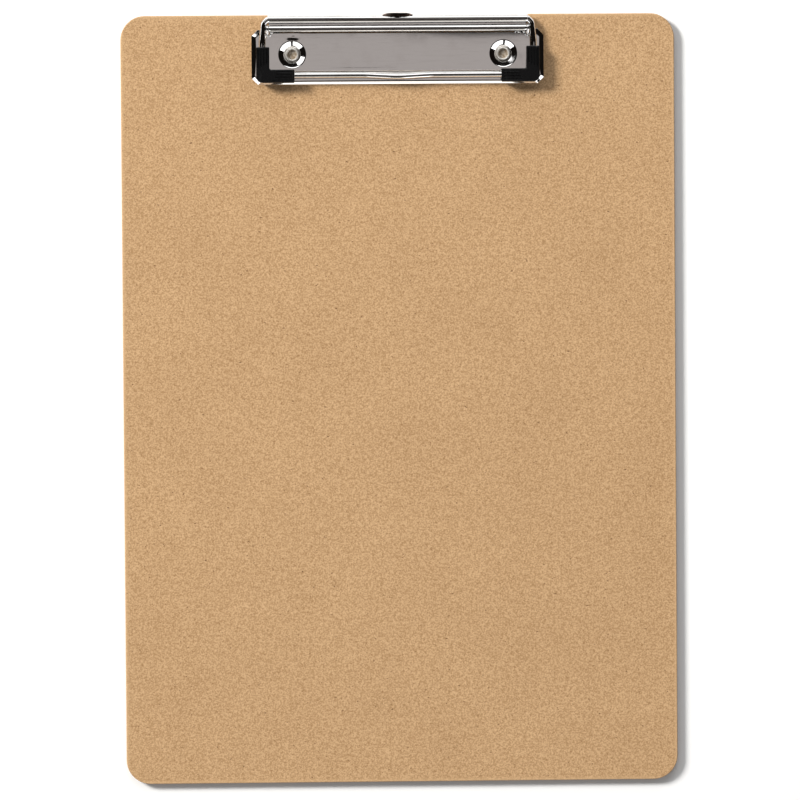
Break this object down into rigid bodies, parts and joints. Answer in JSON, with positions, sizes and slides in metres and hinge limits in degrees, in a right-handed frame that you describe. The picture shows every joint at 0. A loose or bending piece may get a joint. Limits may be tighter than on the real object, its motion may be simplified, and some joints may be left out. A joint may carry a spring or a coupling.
{
  "type": "clipboard",
  "caption": "Hardboard clipboard with a low-profile riveted metal clip: rolled lever, hinge pin and wire bail with black corner grips.",
  "frame": {"origin": "centre of the board's back face", "axes": "+X across the board, +Y along the board towards the clip, +Z out of the front face"},
  "size_m": [0.2286, 0.3184, 0.0091],
  "materials": {
    "hardboard": "smooth pressed fibreboard, matt",
    "plate_chrome": "bright plated steel sheet",
    "lever_chrome": "bright plated steel strip",
    "wire_steel": "bright plated spring wire",
    "pin_steel": "plain steel rod",
    "rivet_steel": "plated semi-tubular rivet",
    "grip_black": "black soft moulded plastic, satin"
  },
  "bodies": {
    "root": {"board": "hardboard", "base_plate": "plate_chrome", "rivet_left": "rivet_steel", "rivet_right": "rivet_steel", "hinge_pin": "pin_steel"},
    "lever": {"lever": "lever_chrome"},
    "bail": {"wire_bail": "wire_steel", "sleeve_left": "grip_black", "sleeve_right": "grip_black"}
  },
  "joints": [
    {"name": "lever_hinge", "type": "hinge", "parent": "root", "child": "lever", "pos_m": [0, 0.15305, 0.00595], "axis": [1, 0, 0], "range_deg": [0, 100]},
    {"name": "bail_pivot", "type": "hinge", "parent": "lever", "child": "bail", "pos_m": [0, 0.1569, 0.00615], "axis": [1, 0, 0], "range_deg": [-125, 0]}
  ],
  "couplings": [
    {"joint": "bail_pivot", "follows": "lever_hinge", "ratio": -1.25}
  ]
}
